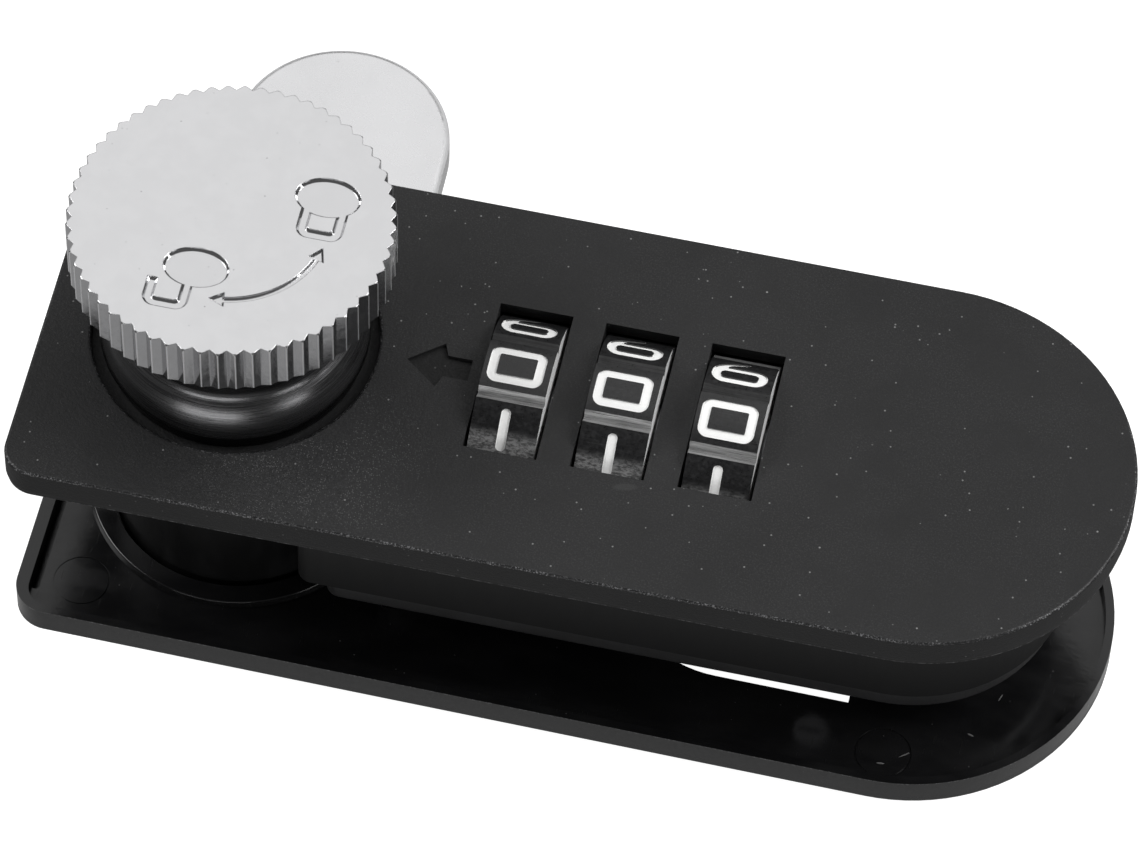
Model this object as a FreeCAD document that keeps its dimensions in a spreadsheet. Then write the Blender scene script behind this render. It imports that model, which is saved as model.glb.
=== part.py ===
import FreeCAD, Part
import Sketcher
import os, re, math
from FreeCAD import Vector as V

# Combination locker lock.
# Origin: where the knob and cam axis meets the plane on which the cover sits
# against the door.  +X runs along the cover towards its round end, +Y is the
# way the cam points when locked, +Z comes out of the door towards the user.

os.makedirs("parts", exist_ok=True)
doc = FreeCAD.newDocument("locker_lock")
sheet = doc.addObject("Spreadsheet::Sheet", "Dimensions")

SIZES = [
    # cover
    ("cover_length", 81.3), ("cover_width", 31.3), ("cover_thick", 2.8),
    ("cover_left", -14.05), ("cover_corner", 2.4), ("cover_edge", 0.25),
    # dial windows
    ("dial_pitch", 8.0), ("window_first", 18.48), ("window_wide", 5.52),
    ("window_long", 13.0), ("dial_y", 0.35), ("dial_z", -3.35),
    # arrow recess
    ("arrow_depth", 0.3), ("seam_high", 0.55), ("seam_in", 0.1),
    # body behind the cover
    ("body_left", 7.2), ("body_half", 12.2), ("body_deep", 10.1),
    ("body_arc", 51.4), ("body_wall", 1.1), ("body_corner", 1.2),
    ("lid_left", 9.2), ("lid_half", 11.65), ("lid_deep", 2.4), ("lid_floor", 0.8),
    ("lid_wall", 1.3), ("head_rad", 1.3), ("head_deep", 0.45),
    # barrel
    ("barrel_rad", 9.6), ("barrel_end", 18.2), ("ring_rad", 10.63),
    ("ring_deep", 1.1), ("cavity_rad", 7.4), ("cavity_top", 2.5),
    # clamping plate
    ("door_gap", 16.0), ("plate_thick", 2.6), ("plate_rim", 0.65), ("plate_side", 1.0),
    ("plate_floor", 0.9), ("plate_hole", 10.05), ("collar_rad", 11.5),
    ("collar_foot", 11.62), ("collar_high", 0.55),
    ("hatch_half", 8.88), ("hatch_arc", 38.8), ("hatch_right", 48.95),
    ("plate_edge", 0.3), ("plate_slot", 2.15),
    # knob
    ("knob_rad", 11.97), ("knob_top", 17.1), ("rim_thick", 4.7),
    ("tooth_deep", 0.46), ("tooth_count", 60), ("knob_foot", 10.0),
    ("foot_top", 3.5), ("neck_rad", 9.1), ("socket_side", 7.06),
    ("socket_deep", 10.0), ("icon_depth", 0.25),
    # spindle
    ("shaft_rad", 5.0), ("shaft_gap", 0.05), ("spiral_small", 5.0),
    ("spiral_rise", 1.8), ("spiral_low", -8.0), ("spiral_high", -5.0),
    ("disc_rad", 6.8), ("disc_low", -9.6), ("square_side", 7.0),
    ("stub_rad", 3.0), ("screw_rad", 1.5), ("spindle_low", -26.4),
    ("groove_rad", 5.9), ("groove_wide", 1.7), ("pin_rad", 0.8),
    # bush
    ("bush_top", -11.0), ("bush_low", -18.2),
    # cam
    ("cam_top", -18.9), ("cam_thick", 3.2), ("cam_half", 8.6),
    ("cam_reach", 34.6), ("cam_hub", 9.2), ("cam_edge", 0.55),
    # dials
    ("dial_rad", 8.05), ("figure_deep", 0.12), ("dial_wide", 5.0), ("dial_start", 18.72),
    ("bore_rad", 4.45), ("notch_deep", 0.6), ("notch_half", 0.47),
    # code sleeves, axle, slide
    ("sleeve_rad", 4.4), ("flange_rad", 5.4), ("axle_rad", 2.0),
    ("slide_travel", 1.8),
]
D = {}
for row, (alias, value) in enumerate(SIZES, start=1):
    sheet.set("A%d" % row, alias)
    sheet.set("B%d" % row, str(value))
    sheet.setAlias("B%d" % row, alias)
    D[alias] = float(value)
doc.recompute()

WORD = re.compile(r"[a-z]+(?:_[a-z]+)+")


def bound(text):
    return WORD.sub(lambda w: "Dimensions." + w.group(0) if w.group(0) in D else w.group(0), text)


def val(x):
    if isinstance(x, str):
        total = WORD.sub(lambda w: repr(D[w.group(0)]), x)
        # plain arithmetic of numbers only: sums of products
        return arithmetic(total)
    return float(x)


def arithmetic(text):
    tokens = re.findall(r"\d+\.?\d*(?:e-?\d+)?|[-+*/()]", text)
    pos = [0]

    def factor():
        t = tokens[pos[0]]
        pos[0] += 1
        if t == "-":
            return -factor()
        if t == "+":
            return factor()
        if t == "(":
            r = expr()
            pos[0] += 1
            return r
        return float(t)

    def term():
        r = factor()
        while pos[0] < len(tokens) and tokens[pos[0]] in "*/":
            op = tokens[pos[0]]
            pos[0] += 1
            f = factor()
            r = r * f if op == "*" else r / f
        return r

    def expr():
        r = term()
        while pos[0] < len(tokens) and tokens[pos[0]] in "+-":
            op = tokens[pos[0]]
            pos[0] += 1
            f = term()
            r = r + f if op == "+" else r - f
        return r

    return expr()


def put(obj, prop, x):
    if isinstance(x, str):
        obj.setExpression(prop, bound(x))
    else:
        setattr(obj, prop, x)


def at(obj, x, y, z, rot=None):
    obj.Placement = FreeCAD.Placement(V(val(x), val(y), val(z)), rot or FreeCAD.Rotation())
    for axis, q in zip("xyz", (x, y, z)):
        if isinstance(q, str):
            obj.setExpression(".Placement.Base." + axis, bound(q))


COUNT = [0]


def fresh(kind):
    COUNT[0] += 1
    return "%s_%03d" % (kind, COUNT[0])


def box(x0, x1, y0, y1, z0, z1):
    """A block between two corners; each number may be a formula of the sheet."""
    o = doc.addObject("Part::Box", fresh("block"))
    for prop, a, b in (("Length", x0, x1), ("Width", y0, y1), ("Height", z0, z1)):
        if isinstance(a, str) or isinstance(b, str):
            put(o, prop, "(%s)-(%s)" % (b, a))
        else:
            setattr(o, prop, b - a)
    at(o, x0, y0, z0)
    return o


AXES = {
    "z": FreeCAD.Rotation(),
    "x": FreeCAD.Rotation(V(0, 1, 0), 90),
    "y": FreeCAD.Rotation(V(1, 0, 0), -90),
}


def rod(r, length, x, y, z, along="z"):
    """A round bar whose first end is at x, y, z and which runs along +along."""
    o = doc.addObject("Part::Cylinder", fresh("rod"))
    put(o, "Radius", r)
    put(o, "Height", length)
    at(o, x, y, z, AXES[along])
    return o


def cone(r1, r2, length, x, y, z, along="z"):
    o = doc.addObject("Part::Cone", fresh("cone"))
    put(o, "Radius1", r1)
    put(o, "Radius2", r2)
    put(o, "Height", length)
    at(o, x, y, z, AXES[along])
    return o


def fuse(*shapes):
    if len(shapes) == 1:
        return shapes[0]
    o = doc.addObject("Part::MultiFuse", fresh("fuse"))
    o.Shapes = list(shapes)
    o.Refine = True
    return o


def cut(base, *tools):
    o = doc.addObject("Part::Cut", fresh("cut"))
    o.Base = base
    o.Tool = fuse(*tools)
    o.Refine = True
    return o


def common(a, b):
    o = doc.addObject("Part::MultiCommon", fresh("common"))
    o.Shapes = [a, b]
    o.Refine = True
    return o


def prism(points, z0, height, plane="XY"):
    """A straight prism on a closed run of points, drawn as a sketch."""
    s = doc.addObject("Sketcher::SketchObject", fresh("profile"))
    rot = {
        "XY": FreeCAD.Rotation(),
        "XZ": FreeCAD.Rotation(V(1, 0, 0), 90),
        "YZ": FreeCAD.Rotation(V(1, 1, 1), 120),
    }[plane]
    n = len(points)
    for i in range(n):
        a, b = points[i], points[(i + 1) % n]
        s.addGeometry(Part.LineSegment(V(a[0], a[1], 0), V(b[0], b[1], 0)), False)
    for i in range(n):
        s.addConstraint(Sketcher.Constraint("Coincident", i, 2, (i + 1) % n, 1))
    base = {"XY": V(0, 0, val(z0)), "XZ": V(0, val(z0), 0), "YZ": V(val(z0), 0, 0)}[plane]
    s.Placement = FreeCAD.Placement(base, rot)
    o = doc.addObject("Part::Extrusion", fresh("prism"))
    o.Base = s
    o.DirMode = "Custom"
    o.Dir = {"XY": V(0, 0, 1), "XZ": V(0, 1, 0), "YZ": V(1, 0, 0)}[plane]
    put(o, "LengthFwd", height)
    o.Solid = True
    return o


def revolve(points, centre=(0, 0, 0), axis=(0, 0, 1)):
    """A body turned about an upright axis from a closed (radius, height) profile."""
    s = doc.addObject("Sketcher::SketchObject", fresh("profile"))
    n = len(points)
    for i in range(n):
        a, b = points[i], points[(i + 1) % n]
        s.addGeometry(Part.LineSegment(V(a[0], a[1], 0), V(b[0], b[1], 0)), False)
    for i in range(n):
        s.addConstraint(Sketcher.Constraint("Coincident", i, 2, (i + 1) % n, 1))
    s.Placement = FreeCAD.Placement(V(*centre), FreeCAD.Rotation(V(1, 0, 0), 90))
    o = doc.addObject("Part::Revolution", fresh("turned"))
    o.Source = s
    o.Base = V(*centre)
    o.Axis = V(*axis)
    o.Angle = 360
    o.Solid = True
    return o


def round_edges(obj, radius, pick):
    """Fillet the edges of obj that pick(edge) accepts."""
    doc.recompute()
    f = doc.addObject("Part::Fillet", fresh("fillet"))
    f.Base = obj
    edges = [(i, radius, radius) for i, e in enumerate(obj.Shape.Edges, start=1) if pick(e)]
    if not edges:
        raise RuntimeError("no edge to round on " + obj.Name)
    f.Edges = edges
    return f


def bevel_edges(obj, size, pick):
    doc.recompute()
    f = doc.addObject("Part::Chamfer", fresh("bevel"))
    f.Base = obj
    edges = [(i, size, size) for i, e in enumerate(obj.Shape.Edges, start=1) if pick(e)]
    if not edges:
        raise RuntimeError("no edge to bevel on " + obj.Name)
    f.Edges = edges
    return f


NODES = []


def node(obj, name):
    obj.Label = name
    NODES.append((name, obj))
    return obj


def flat_at(e, z, tol=1e-4):
    b = e.BoundBox
    return abs(b.ZMin - z) < tol and abs(b.ZMax - z) < tol


def upright(e):
    b = e.BoundBox
    return b.ZLength > 0.2 and b.XLength < 1e-4 and b.YLength < 1e-4


def outline(left, length, half, z0, height, corner):
    """The flat outline shared by cover and plate: square left end, round right end."""
    slab = box(left, "(%s)+(%s)-(%s)" % (left, length, half), "-(%s)" % half, half, z0, "(%s)+(%s)" % (z0, height))
    end = rod(half, height, "(%s)+(%s)-(%s)" % (left, length, half), 0, z0)
    slab = round_edges(slab, corner, lambda e: upright(e) and abs(e.BoundBox.XMin - val(left)) < 1e-3)
    return fuse(slab, end)


# ---------------------------------------------------------------- front housing
cover = outline("cover_left", "cover_length", "cover_width/2", "seam_high", "cover_thick-seam_high", D["cover_corner"])
cover = round_edges(cover, D["cover_edge"], lambda e: flat_at(e, D["cover_thick"]))
skirt = outline("cover_left+seam_in", "cover_length-2*seam_in", "cover_width/2-seam_in", 0.0, "seam_high+0.4", D["cover_corner"] - D["seam_in"])
shell_box = box("body_left", "body_arc", "-body_half", "body_half", "-body_deep", 0.0)
shell_box = round_edges(shell_box, D["body_corner"], lambda e: upright(e) and abs(e.BoundBox.XMin - D["body_left"]) < 1e-3)
shell_end = rod("body_half", "body_deep", "body_arc", 0, "-body_deep")
barrel = rod("barrel_rad", "barrel_end", 0, 0, "-barrel_end")
outside = fuse(cover, skirt, shell_box, shell_end, barrel)

hollow = box(10.6, "body_arc", "-(body_half-body_wall)", "body_half-body_wall", "-body_deep-1", 0.0)
hollow_end = rod("body_half-body_wall", "body_deep+1", "body_arc", 0, "-body_deep-1")
windows = []
for i in range(3):
    windows.append(box("window_first+%d*dial_pitch" % i, "window_first+%d*dial_pitch+window_wide" % i,
                       "dial_y-window_long/2", "dial_y+window_long/2", -1.0, "cover_thick+1"))
# the dials and the flanged sleeves run in round pockets under the cover
pockets = [rod("sleeve_rad+0.15", 25.0, 18.0, "dial_y", "dial_z", "x")]
for i in range(3):
    pockets.append(rod("dial_rad+0.2", "window_wide", "window_first+%d*dial_pitch" % i, "dial_y", "dial_z", "x"))
    pockets.append(rod("flange_rad+0.15", 1.3, "dial_start+dial_wide+0.75+%d*dial_pitch" % i, "dial_y", "dial_z", "x"))
arrow = prism([(12.85, 0.45), (15.35, 2.4), (15.75, 1.38), (17.6, 1.38), (17.6, -0.48), (15.75, -0.48), (15.35, -1.5)],
              D["cover_thick"] - D["arrow_depth"], 1.0)
seat = rod("ring_rad", "ring_deep+1", 0, 0, "cover_thick-ring_deep")
top_bore = rod("shaft_rad+shaft_gap", "cover_thick+cavity_top+1", 0, 0, "-cavity_top-0.5")
cavity = rod("cavity_rad", "barrel_end-cavity_top+1", 0, 0, "-barrel_end-1")
slot = box(5.0, 12.0, -1.15, 1.15, -7.6, -5.3)
inside = fuse(hollow, hollow_end, seat, top_bore, cavity, slot, arrow, *(windows + pockets))
housing = cut(outside, inside)

# screw posts, spring rib and lid bosses stand inside the shell
post_a = rod(2.6, "body_deep", 13.7, -6.6, "-body_deep")
post_a_web = box(10.3, 12.5, -8.0, -5.2, "-body_deep", 0.0)
post_b = rod(3.0, "body_deep", 57.0, 0, "-body_deep")
rib = box(51.4, 52.5, 7.2, 9.9, "-body_deep", 0.0)
rib = common(rib, rod("body_half-0.3", 30, "body_arc", 0, -20))
rib_wall = box(51.4, 52.5, 7.2, 11.6, -7.0, 0.0)
LID_SCREWS = ((10.95, 10.1, 1.8), (46.3, -9.7, 4.5), (48.5, 9.6, 2.0), (58.4, -6.4, 4.5))
tail = box(44.9, 47.7, "-(body_half-0.3)", -8.3, "-body_deep", 0.0)
far_boss = box(47.3, 49.7, 8.4, "body_half-0.3", "-body_deep", -7.6)
near_boss = box(10.3, 11.5, 8.6, "body_half-0.3", "-body_deep", -7.8)
end_boss = common(rod(1.9, "body_deep", 58.4, -6.4, "-body_deep"), rod("body_half-0.3", 30, "body_arc", 0, -20))
housing = fuse(housing, post_a, post_a_web, post_b, rib_wall, tail, far_boss, near_boss, end_boss)
pilots = [rod("screw_rad", 5.6, 13.7, -6.6, "-body_deep"), rod("screw_rad", 5.6, 57.0, 0, "-body_deep")]
housing = cut(housing, *pilots)
housing = round_edges(housing, 0.3, lambda e: flat_at(e, D["cover_thick"]) and abs(e.BoundBox.XLength - 2 * D["ring_rad"]) < 0.01)
node(housing, "front_housing")

# ---------------------------------------------------------------- body lid
lid_box = box("lid_left", "body_arc", "-lid_half", "lid_half", "-body_deep-lid_deep", "-body_deep")
lid_box = round_edges(lid_box, D["body_corner"], lambda e: upright(e) and abs(e.BoundBox.XMin - D["lid_left"]) < 1e-3)
lid_end = rod("lid_half", "lid_deep", "body_arc", 0, "-body_deep-lid_deep")
lid = fuse(lid_box, lid_end)
well = box(17.4, 50.0, "-(lid_half-lid_wall)", "lid_half-lid_wall", "-body_deep-lid_deep+lid_floor", "-body_deep+1")
lever_slot = box(45.5, 48.5, -1.7, 4.3, "-body_deep-lid_deep-1", "-body_deep+1")
pass_a = rod(1.95, 5.0, 13.7, -6.6, "-body_deep-lid_deep-1")
pass_b = rod(1.95, 5.0, 57.0, 0, "-body_deep-lid_deep-1")
barrel_gap = rod("barrel_rad+0.25", 10, 0, 0, -15)
lid = cut(lid, well, lever_slot, pass_a, pass_b, barrel_gap)
lid = round_edges(lid, 0.4, lambda e: flat_at(e, -D["body_deep"] - D["lid_deep"]) and e.Length > 15
                  and (abs(abs(e.BoundBox.YMax) - D["lid_half"]) < 1e-3 or abs(abs(e.BoundBox.YMin) - D["lid_half"]) < 1e-3))
node(lid, "body_lid")

# ---------------------------------------------------------------- clamping plate
plate = outline("cover_left", "cover_length", "cover_width/2", "-door_gap-plate_thick", "plate_thick", D["cover_corner"] + 0.2)
plate = round_edges(plate, D["plate_edge"], lambda e: flat_at(e, -D["door_gap"] - D["plate_thick"]))
tray = outline("cover_left+plate_side", "cover_length-plate_side-plate_rim", "cover_width/2-plate_rim",
               "-door_gap-plate_floor", "plate_floor+1", 1.7)
collar = cone("collar_foot", "collar_rad", "collar_high", 0, 0, "-door_gap-plate_floor")
collar = round_edges(collar, 0.15, lambda e: flat_at(e, -D["door_gap"] - D["plate_floor"] + D["collar_high"]))
hatch = common(box("hatch_arc-20", "hatch_right", "-hatch_half", "hatch_half", "-door_gap-plate_thick-1", "-door_gap+1"),
               fuse(rod("hatch_half", 10, "hatch_arc", 0, "-door_gap-plate_thick-1"),
                    box("hatch_arc", "hatch_right+1", "-hatch_half", "hatch_half", "-door_gap-plate_thick-1", "-door_gap+1")))
# the barrel's end sits in the hole on a thin lip
hole = fuse(rod("plate_hole", 10, 0, 0, "-barrel_end-0.05"), rod("plate_hole-0.85", 10, 0, 0, "-door_gap-plate_thick-1"))
# a deep groove runs along the rim of the square end
side_groove = fuse(box("cover_left+plate_side", "cover_left+plate_side+0.68", -12.9, 12.9, "-door_gap-plate_floor-0.9", "-door_gap+1"),
                   rod(0.34, 5, "cover_left+plate_side+0.34", 12.9, "-door_gap-plate_floor-0.9"),
                   rod(0.34, 5, "cover_left+plate_side+0.34", -12.9, "-door_gap-plate_floor-0.9"))
screw_holes = [rod("plate_slot", 10, 13.7, -6.6, -21), rod("plate_slot", 10, 57.0, 0, -21)]
# round marks that the moulding's ejector pins left on the tray floor
marks = []
for mx, my in ((-9.42, -11.74), (52.3, -12.6)):
    marks.append(cut(rod(2.15, 0.12, mx, my, "-door_gap-plate_floor-0.06"), rod(2.0, 1.0, mx, my, "-door_gap-plate_floor-0.5")))
plate = fuse(cut(plate, tray), collar)
plate = cut(plate, hatch, hole, side_groove, *screw_holes, *marks)
# the plate sits half a degree askew on its two screws, as far as their holes let it
skew = FreeCAD.Rotation(V(0, 0, 1), -0.5)
corner = V(D["cover_left"], 0, 0)
plate.Placement = FreeCAD.Placement(corner - skew.multVec(corner) + V(0, 0.07, 0), skew)
node(plate, "back_plate")

# ---------------------------------------------------------------- plate screws
def thread_rings(r, z0, z1, pitch, deep, centre):
    """A ring tool that leaves the crests and roots of a thread on a bar of radius r."""
    zig = [(r + 0.4, z0 - 0.02), (r, z0)]
    n = int(round((z1 - z0) / pitch))
    for k in range(n):
        z = z0 + pitch * k
        zig += [(r - deep, z + 0.42 * pitch), (r - deep, z + 0.5 * pitch), (r, z + 0.92 * pitch), (r, z + pitch)]
    zig.append((r + 0.4, z0 + n * pitch + 0.02))
    return revolve(zig, centre)


screws = []
for sx, sy in ((13.7, -6.6), (57.0, 0.0)):
    head = cone(2.5, 3.1, 1.9, sx, sy, "-door_gap-plate_thick-1.9")
    shank = rod("screw_rad", "door_gap+plate_thick-5.0", sx, sy, "-door_gap-plate_thick")
    drive = fuse(box(sx - 1.9, sx + 1.9, sy - 0.35, sy + 0.35, "-door_gap-plate_thick-2.5", "-door_gap-plate_thick-0.9"),
                 box(sx - 0.35, sx + 0.35, sy - 1.9, sy + 1.9, "-door_gap-plate_thick-2.5", "-door_gap-plate_thick-0.9"))
    screws.append(cut(fuse(head, shank), drive, thread_rings(D["screw_rad"], -18.2, -10.2, 0.5, 0.26, (sx, sy, 0))))
node(fuse(*screws), "plate_screws")

# ---------------------------------------------------------------- knob
knob_doc = doc.addObject("PartDesign::Body", "knob_body")


def role_plane(body, role):
    for f in body.Origin.OriginFeatures:
        if getattr(f, "Role", "") == role or f.Name.startswith(role):
            return f
    raise RuntimeError(role)


def loop(sketch, pts):
    first = sketch.GeometryCount
    n = len(pts)
    for i in range(n):
        a, b = pts[i], pts[(i + 1) % n]
        sketch.addGeometry(Part.LineSegment(V(a[0], a[1], 0), V(b[0], b[1], 0)), False)
    for i in range(n):
        sketch.addConstraint(Sketcher.Constraint("Coincident", first + i, 2, first + (i + 1) % n, 1))
    return first


def pinned(sketch, first, pts, dims):
    """Tie profile corners to the sheet: dims maps corner number to (x formula, y formula)."""
    for i, (fx, fy) in dims.items():
        for kind, f, v in (("DistanceX", fx, pts[i][0]), ("DistanceY", fy, pts[i][1])):
            if f is None:
                continue
            if abs(v) < 1e-9:
                continue
            name = "c%d_%s" % (i, kind[-1].lower())
            k = sketch.addConstraint(Sketcher.Constraint(kind, -1, 1, first + i, 1, v))
            sketch.renameConstraint(k, name)
            sketch.setExpression("Constraints." + name, bound(f))


sk = knob_doc.newObject("Sketcher::SketchObject", "knob_profile")
sk.AttachmentSupport = [(role_plane(knob_doc, "XZ_Plane"), "")]
sk.MapMode = "FlatFace"
rim_low = D["knob_top"] - D["rim_thick"]
low_edge = D["cover_thick"] - D["ring_deep"] + 0.25
# the neck narrows a little, turns out through a small hollow and rounds over into its foot
turn_out = math.radians(46)
hollow_r, bulge_r = 1.2, 3.9
foot_r, foot_z = D["knob_foot"], D["foot_top"]
shoulder = (foot_r - bulge_r * (1 - math.cos(turn_out)), foot_z + bulge_r * math.sin(turn_out))
waist_r = shoulder[0] - hollow_r * (1 - math.cos(turn_out))
waist_low = shoulder[1] + hollow_r * math.sin(turn_out)
pts = [(0, D["knob_top"]), (D["knob_rad"], D["knob_top"]), (D["knob_rad"], rim_low), (D["neck_rad"], rim_low), (waist_r, waist_low),
       shoulder, (foot_r, foot_z), (foot_r, foot_z - 0.1), (foot_r - 0.1, foot_z - 0.2), (foot_r - 0.4, foot_z - 0.2),
       (foot_r - 0.4, low_edge), (0, low_edge)]
# each bend: centre, radius and its two angles, counter-clockwise
bends = {4: ((waist_r + hollow_r, waist_low), hollow_r, math.pi, math.pi + turn_out),
         5: ((foot_r - bulge_r, foot_z), bulge_r, 0.0, turn_out)}
# the bulge runs counter-clockwise from the foot up, against the outline's own direction
backwards = {5}
for i in range(len(pts)):
    a, b = pts[i], pts[(i + 1) % len(pts)]
    if i in bends:
        (cx, cy), radius, first, last = bends[i]
        sk.addGeometry(Part.ArcOfCircle(Part.Circle(V(cx, cy, 0), V(0, 0, 1), radius), first, last), False)
    else:
        sk.addGeometry(Part.LineSegment(V(a[0], a[1], 0), V(b[0], b[1], 0)), False)
for i in range(len(pts)):
    j = (i + 1) % len(pts)
    sk.addConstraint(Sketcher.Constraint("Coincident", i, 1 if i in backwards else 2, j, 2 if j in backwards else 1))
for i, (centre, radius, first, last) in bends.items():
    sk.addConstraint(Sketcher.Constraint("Radius", i, radius))
pinned(sk, 0, pts, {0: (None, "knob_top"), 1: ("knob_rad", "knob_top"), 2: ("knob_rad", "knob_top-rim_thick")})
turned = knob_doc.newObject("PartDesign::Revolution", "knob_turned")
turned.Profile = sk
turned.ReferenceAxis = (sk, ["V_Axis"])
turned.Angle = 360.0
doc.recompute()
# the solver must leave the profile where it was drawn
for i in bends:
    arc = sk.Geometry[i]
    if abs(arc.Radius - bends[i][1]) > 1e-4 or math.hypot(arc.Center.x - bends[i][0][0], arc.Center.y - bends[i][0][1]) > 1e-4:
        raise RuntimeError("the knob's profile moved: bend %d" % i)
if len(turned.Shape.Solids) != 1:
    raise RuntimeError("the turned knob is not one solid")

vs = knob_doc.newObject("Sketcher::SketchObject", "tooth_gap")
vs.AttachmentSupport = [(role_plane(knob_doc, "XY_Plane"), "")]
vs.MapMode = "FlatFace"
step = math.pi / D["tooth_count"]
over = 0.3
root = D["knob_rad"] - D["tooth_deep"]
tip = D["knob_rad"] + 0.002
gap = [(root, 0.0),
       (tip * math.cos(step) + over, tip * math.sin(step) + over * (tip * math.sin(step)) / (tip * math.cos(step) - root)),
       (tip * math.cos(step) + over, -tip * math.sin(step) - over * (tip * math.sin(step)) / (tip * math.cos(step) - root))]
loop(vs, gap)
tooth = knob_doc.newObject("PartDesign::Pocket", "tooth_cut")
tooth.Profile = vs
tooth.Type = 1
tooth.Midplane = True
doc.recompute()
ring = knob_doc.newObject("PartDesign::PolarPattern", "knurl")
ring.Originals = [tooth]
ring.Axis = (vs, ["N_Axis"])
ring.Angle = 360
ring.setExpression("Occurrences", "Dimensions.tooth_count")
knob_doc.Tip = ring
doc.recompute()
before = ring.Shape.Volume
cs = knob_doc.newObject("Sketcher::SketchObject", "tooth_ends")
cs.AttachmentSupport = [(role_plane(knob_doc, "XZ_Plane"), "")]
cs.MapMode = "FlatFace"
R, T = D["knob_rad"], D["knob_top"]
loop(cs, [(R - 0.14, T + 0.02), (R + 0.5, T + 0.02), (R + 0.5, T - 0.62), (R + 0.02, T - 0.14)])
loop(cs, [(R - 0.5, rim_low - 0.02), (R + 0.02, rim_low + 0.5), (R + 0.5, rim_low + 0.98), (R + 0.5, rim_low - 0.02)])
ends = knob_doc.newObject("PartDesign::Groove", "tooth_bevel")
ends.Profile = cs
ends.ReferenceAxis = (cs, ["V_Axis"])
ends.Angle = 360.0
knob_doc.Tip = ends
doc.recompute()
if ends.Shape.Volume >= before:
    raise RuntimeError("the tooth bevels cut nothing")


def oval(cx, cy, a, b, n=48):
    return [(cx + a * math.cos(2 * math.pi * k / n), cy + b * math.sin(2 * math.pi * k / n)) for k in range(n)]


def slab_of(points, z0, h):
    w = Part.makePolygon([V(x, y, z0) for x, y in points] + [V(points[0][0], points[0][1], z0)])
    return Part.Face(w).extrude(V(0, 0, h))


# pictograms sunk in the knob's face: closed padlock, open padlock, curved double arrow
zt = D["knob_top"] - D["icon_depth"]
hi = 1.0


def ellipse_pad(cx, cy, a, b):
    e = Part.Ellipse(V(cx, cy, zt), a, b)
    return Part.Face(Part.Wire([e.toShape()])).extrude(V(0, 0, hi))


def u_bar(x0, x1, y0, y1, th, r):
    outer = Part.makeBox(x1 - x0, y1 - y0, hi, V(x0, y0, zt))
    edges = [e for e in outer.Edges if upright(e) and abs(e.BoundBox.YMin - y0) < 1e-6]
    outer = outer.makeFillet(r, edges)
    inner = Part.makeBox(x1 - x0 - 2 * th, y1 - y0 - th + 1, hi, V(x0 + th, y0 + th, zt))
    edges = [e for e in inner.Edges if upright(e) and abs(e.BoundBox.YMin - y0 - th) < 1e-6]
    inner = inner.makeFillet(0.25, edges)
    return outer.cut(inner)


def sloped(shape, size):
    """Lean the walls of a sunk shape outwards towards the knob's face."""
    shape = shape.removeSplitter()
    return shape.makeChamfer(size, [e for e in shape.Edges if flat_at(e, zt)])


closed = sloped(ellipse_pad(6.35, 3.35, 2.42, 1.72).fuse(u_bar(4.68, 8.12, -0.4, 2.3, 0.8, 0.9)), 0.18)
open_u = u_bar(-4.65, -1.3, -8.6, -6.15, 0.78, 0.9)
leg = Part.makeBox(0.78, 0.9, hi, V(-2.08, -6.9, zt))
opened = sloped(ellipse_pad(-1.45, -4.72, 2.42, 1.72).fuse([open_u, leg]), 0.18)
arc_r, wid = 7.1, 0.23
a0, a1 = math.radians(-81.0), math.radians(-17.0)
n = 28
curve = [((arc_r + wid) * math.cos(a0 + (a1 - a0) * k / n), (arc_r + wid) * math.sin(a0 + (a1 - a0) * k / n)) for k in range(n + 1)]
curve += [((arc_r - wid) * math.cos(a1 - (a1 - a0) * k / n), (arc_r - wid) * math.sin(a1 - (a1 - a0) * k / n)) for k in range(n + 1)]
bow = slab_of(curve, zt, hi)


def arrow_head(tip_a, base_a):
    tipp = (arc_r * math.cos(tip_a), arc_r * math.sin(tip_a))
    o = ((arc_r + 0.62) * math.cos(base_a), (arc_r + 0.62) * math.sin(base_a))
    i = ((arc_r - 0.62) * math.cos(base_a), (arc_r - 0.62) * math.sin(base_a))
    return slab_of([tipp, o, i], zt, hi)


bow = sloped(bow.fuse([arrow_head(math.radians(-89.5), math.radians(-80.5)), arrow_head(math.radians(-8.5), math.radians(-17.5))]), 0.13)
icons = doc.addObject("Part::Feature", "pictograms")
icons.Shape = closed.fuse([opened, bow])
icons.Placement = FreeCAD.Placement()
socket = box("-socket_side/2", "socket_side/2", "-socket_side/2", "socket_side/2", -1.0, "cover_thick-ring_deep+0.25+socket_deep")
knob = cut(knob_doc, fuse(icons, socket))
node(knob, "knob")

# ---------------------------------------------------------------- knob washer
floor_z = "cover_thick-ring_deep"
node(cut(rod(9.4, 0.25, 0, 0, floor_z), rod("shaft_rad+0.3", 3, 0, 0, 0)), "knob_washer")

# ---------------------------------------------------------------- spindle
rise = D["spiral_rise"] / (math.pi / 2)
low, high = D["spiral_low"], D["spiral_high"]
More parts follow.
